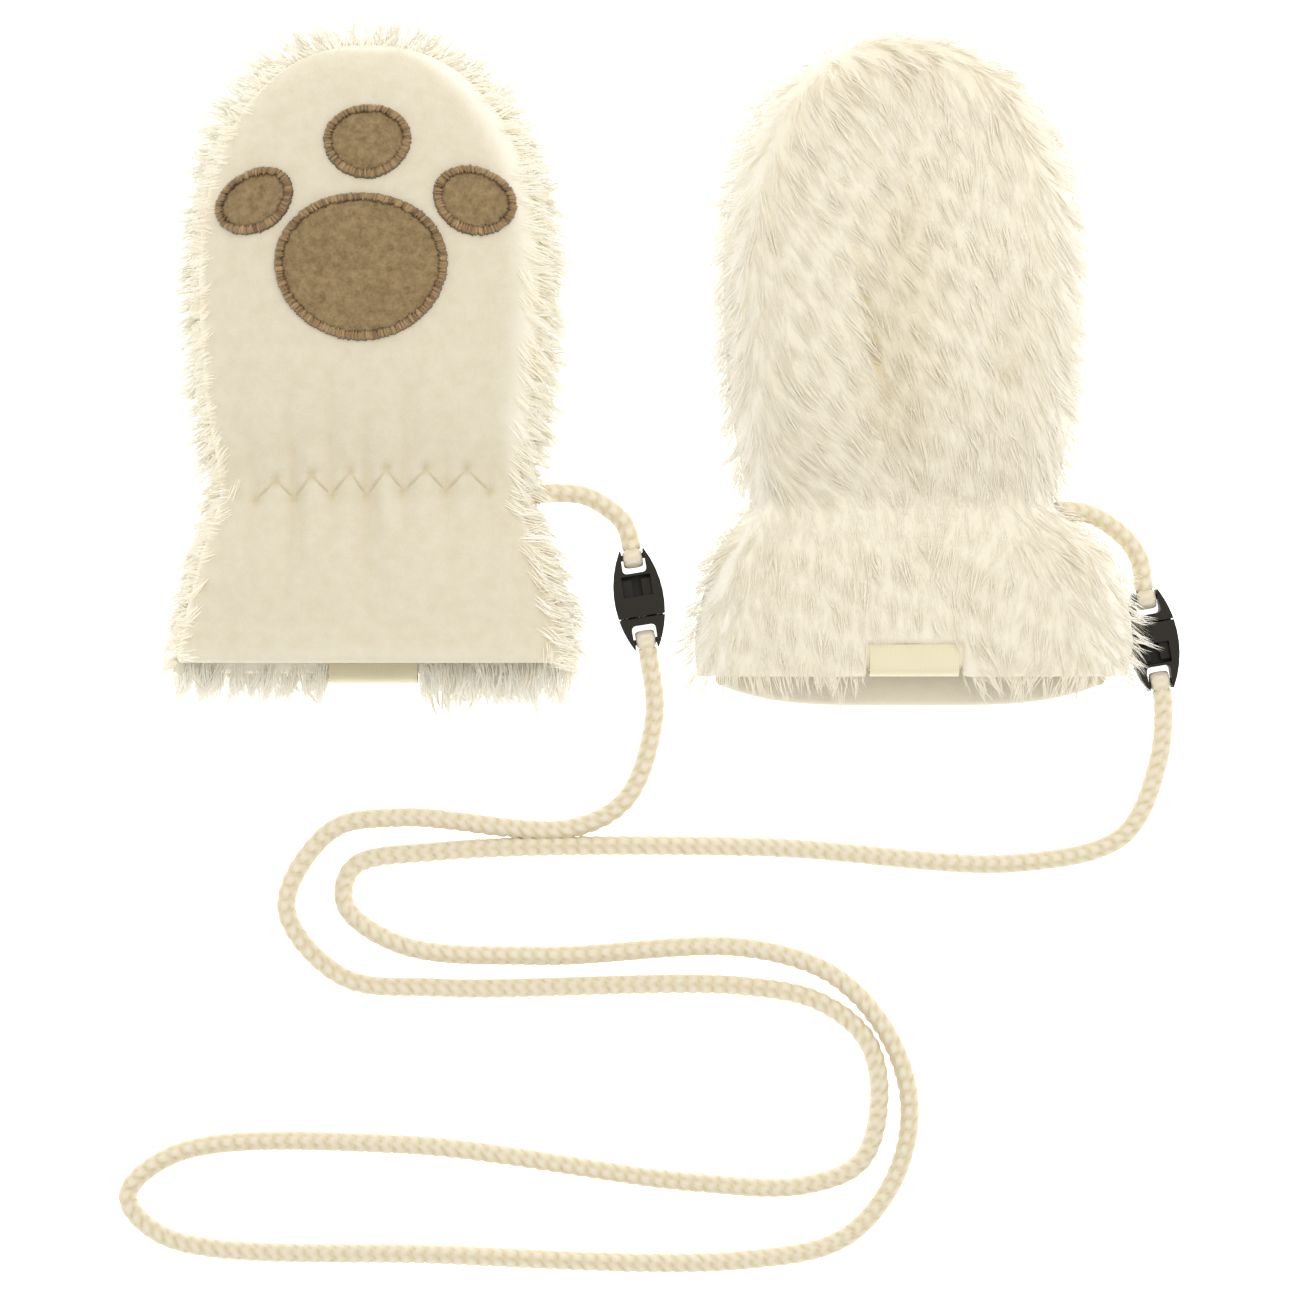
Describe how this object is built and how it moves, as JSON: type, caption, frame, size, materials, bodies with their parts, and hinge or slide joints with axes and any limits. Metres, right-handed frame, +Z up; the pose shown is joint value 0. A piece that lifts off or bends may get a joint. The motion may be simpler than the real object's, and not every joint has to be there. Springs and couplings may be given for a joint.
{
  "type": "pair of baby mittens",
  "caption": "Thumbless baby mittens laid flat, plush backs and fleece palms with paw pads, gathered wrists, joined by a knitted cord with snap clasps.",
  "frame": {"origin": "on the surface the mittens lie on, midway between their outer edges and between finger tips and hems, the cord left out", "axes": "+X to the right across both mittens, +Y towards the finger tips, +Z up from the surface"},
  "size_m": [0.2338, 0.2741, 0.0262],
  "materials": {
    "fleece": "brushed fleece, matt, smooth short nap",
    "plush": "long-pile plush, soft sheen on the pile",
    "pad_fleece": "brown fleece with a satin-stitched edge",
    "label": "woven satin tape, blank",
    "clasp_plastic": "moulded black acetal, low gloss",
    "cord": "knitted cotton cord"
  },
  "bodies": {
    "root": {"left_palm": "fleece", "left_back": "plush", "left_label": "label", "left_pad_main": "pad_fleece", "left_toe_1": "pad_fleece", "left_toe_2": "pad_fleece", "left_toe_3": "pad_fleece", "right_palm": "fleece", "right_back": "plush", "right_label": "label", "right_pad_main": "pad_fleece", "right_toe_1": "pad_fleece", "right_toe_2": "pad_fleece", "right_toe_3": "pad_fleece", "clasp_left_socket": "clasp_plastic", "clasp_left_prong": "clasp_plastic", "clasp_right_socket": "clasp_plastic", "clasp_right_prong": "clasp_plastic", "cord_left": "cord", "cord_long": "cord", "cord_right": "cord"}
  },
  "joints": []
}
